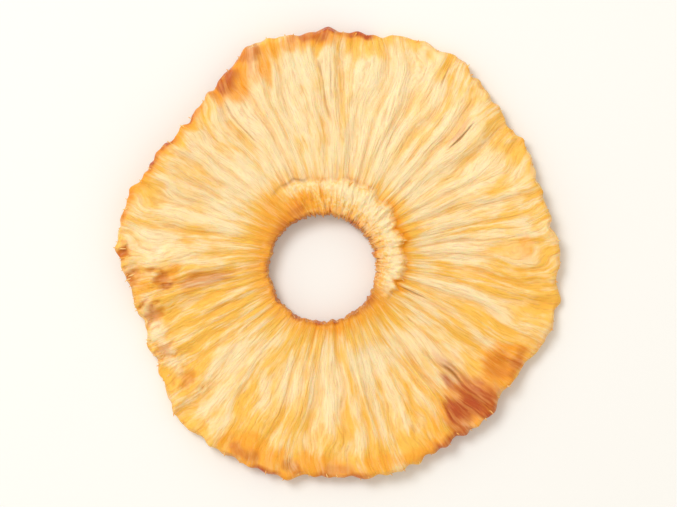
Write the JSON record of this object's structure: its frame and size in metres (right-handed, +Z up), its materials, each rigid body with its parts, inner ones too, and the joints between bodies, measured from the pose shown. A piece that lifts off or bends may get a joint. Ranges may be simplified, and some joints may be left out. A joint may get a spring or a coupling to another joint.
{
  "type": "dried pineapple ring",
  "caption": "Dried pineapple ring: a thin buckled slice of fruit, with ribs of fibre running from an off-centre core hole to a crinkled rim, for eating or laying on other food.",
  "frame": {"origin": "on the surface that the ring lies on, under the middle of its box", "axes": "+Z up, out of the ring's upper face; +X and +Y in the plane of the slice, so that the crescent of core lies towards +X and +Y"},
  "size_m": [0.0808, 0.0818, 0.0063],
  "materials": {
    "dried_pineapple": "dry, fibrous and softly waxy, cream to golden yellow with amber at the rim and round the hole"
  },
  "bodies": {
    "root": {"pineapple_ring": "dried_pineapple"}
  },
  "joints": []
}
